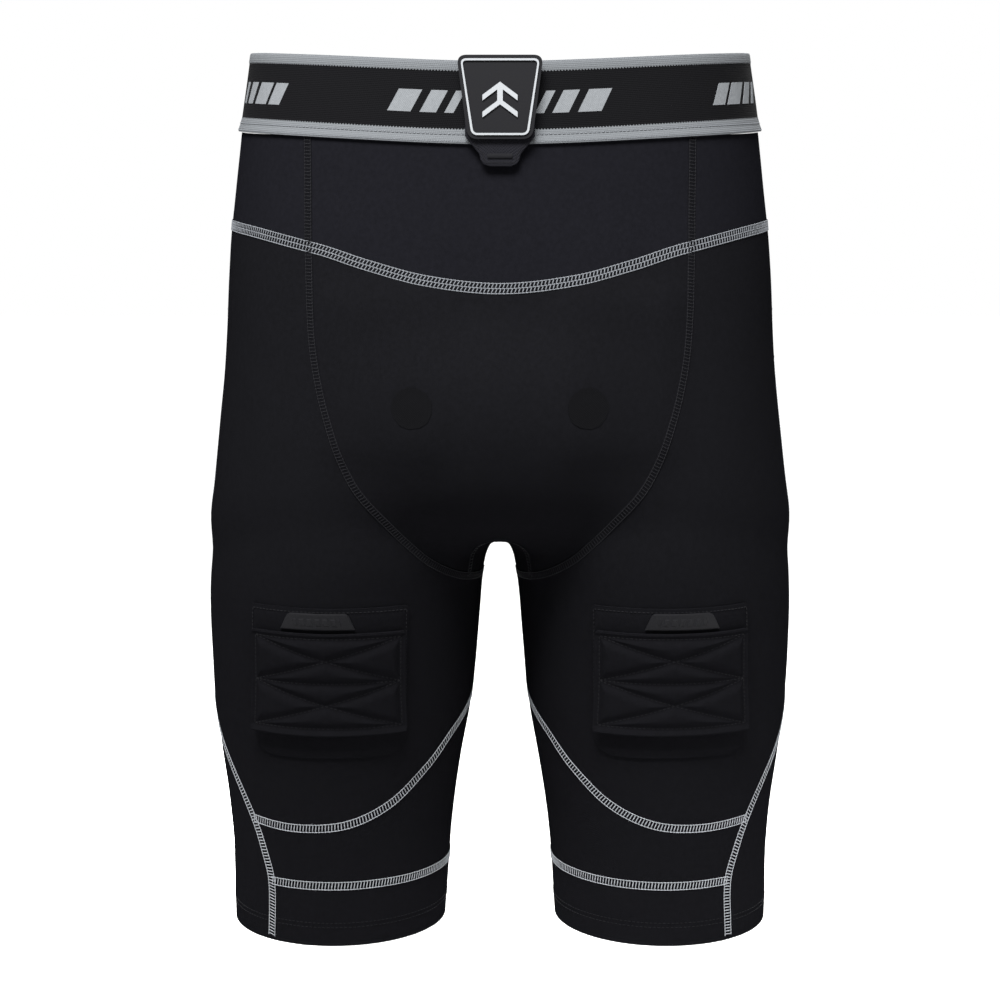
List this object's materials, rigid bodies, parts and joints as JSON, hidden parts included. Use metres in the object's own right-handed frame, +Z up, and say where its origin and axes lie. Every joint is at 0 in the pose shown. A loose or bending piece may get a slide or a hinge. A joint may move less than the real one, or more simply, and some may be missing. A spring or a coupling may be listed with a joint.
{
  "type": "hockey compression jock shorts",
  "caption": "Fitted hockey compression shorts with a front cup pocket and removable guard, a fold-over waist closure tab and hook-and-loop tabs that hold up hockey socks.",
  "frame": {"origin": "on the floor midway between the two hems, with the shorts standing as worn", "axes": "+Z up from hem to waist, -Y to the wearer's front, +X to the wearer's left"},
  "size_m": [0.351, 0.25, 0.5229],
  "materials": {
    "band_elastic": "woven jacquard elastic, black with light grey edge stripes",
    "yoke_knit": "smooth four-way stretch knit, slightly blue black",
    "body_knit": "matt four-way stretch knit, black, with grey flatlock seams",
    "tab_fabric": "stitched brushed loop fabric, black",
    "hook_tape": "nylon hook tape",
    "loop_tape": "nylon loop tape",
    "label_rubber": "moulded soft rubber, matt",
    "silver_print": "silver grey print, satin",
    "webbing": "woven polyester webbing",
    "pocket_mesh": "knitted mesh",
    "guard_plastic": "moulded plastic, satin",
    "guard_cushion": "soft moulded foam rubber",
    "label_cloth": "plain satin label, blank"
  },
  "bodies": {
    "shorts": {"closure_anchor": "webbing", "closure_loop_patch": "loop_tape", "crotch_gusset": "body_knit", "cuff_panel_left": "body_knit", "cuff_panel_right": "body_knit", "hem_fold_left": "body_knit", "hem_fold_right": "body_knit", "knee_panel_left": "body_knit", "knee_panel_right": "body_knit", "pocket_liner": "pocket_mesh", "pouch_panel": "body_knit", "seat_panel": "body_knit", "side_gusset_left": "body_knit", "side_gusset_right": "body_knit", "size_label": "label_cloth", "sock_tab_back_left_base": "tab_fabric", "sock_tab_back_left_label": "label_rubber", "sock_tab_back_right_base": "tab_fabric", "sock_tab_back_right_label": "label_rubber", "sock_tab_front_left_base": "tab_fabric", "sock_tab_front_left_label": "label_rubber", "sock_tab_front_right_base": "tab_fabric", "sock_tab_front_right_label": "label_rubber", "thigh_back_left": "body_knit", "thigh_back_right": "body_knit", "thigh_front_left": "body_knit", "thigh_front_right": "body_knit", "waistband": "band_elastic", "yoke_back": "yoke_knit", "yoke_front": "yoke_knit", "yoke_side_left": "yoke_knit", "yoke_side_right": "yoke_knit"},
    "cup": {"cup_shell": "guard_plastic", "cup_edge_cushion": "guard_cushion"},
    "closure": {"closure_strap": "webbing", "closure_hook_patch": "hook_tape", "closure_badge": "label_rubber", "closure_badge_rim": "silver_print", "closure_badge_emblem": "silver_print", "closure_bar_tack": "webbing"},
    "sock_flap_front_left": {"sock_tab_front_left_flap": "tab_fabric", "sock_tab_front_left_hook_strip": "hook_tape"},
    "sock_flap_front_right": {"sock_tab_front_right_flap": "tab_fabric", "sock_tab_front_right_hook_strip": "hook_tape"},
    "sock_flap_back_left": {"sock_tab_back_left_flap": "tab_fabric", "sock_tab_back_left_hook_strip": "hook_tape"},
    "sock_flap_back_right": {"sock_tab_back_right_flap": "tab_fabric", "sock_tab_back_right_hook_strip": "hook_tape"}
  },
  "joints": [
    {"name": "cup_lift", "type": "slide", "parent": "shorts", "child": "cup", "axis": [0, 0.2504, 0.9681], "range_m": [0, 0.29]},
    {"name": "closure_fold", "type": "hinge", "parent": "shorts", "child": "closure", "pos_m": [0, -0.10032, 0.51445], "axis": [-1, 0, 0], "range_deg": [0, 140]},
    {"name": "sock_tab_front_left_lift", "type": "hinge", "parent": "shorts", "child": "sock_flap_front_left", "pos_m": [0.0995, -0.097, 0.1953], "axis": [-1, 0, 0], "range_deg": [0, 150]},
    {"name": "sock_tab_front_right_lift", "type": "hinge", "parent": "shorts", "child": "sock_flap_front_right", "pos_m": [-0.0995, -0.097, 0.1953], "axis": [-1, 0, 0], "range_deg": [0, 150]},
    {"name": "sock_tab_back_left_lift", "type": "hinge", "parent": "shorts", "child": "sock_flap_back_left", "pos_m": [0.0995, 0.1015, 0.1953], "axis": [1, 0, 0], "range_deg": [0, 150]},
    {"name": "sock_tab_back_right_lift", "type": "hinge", "parent": "shorts", "child": "sock_flap_back_right", "pos_m": [-0.0995, 0.1015, 0.1953], "axis": [1, 0, 0], "range_deg": [0, 150]}
  ]
}
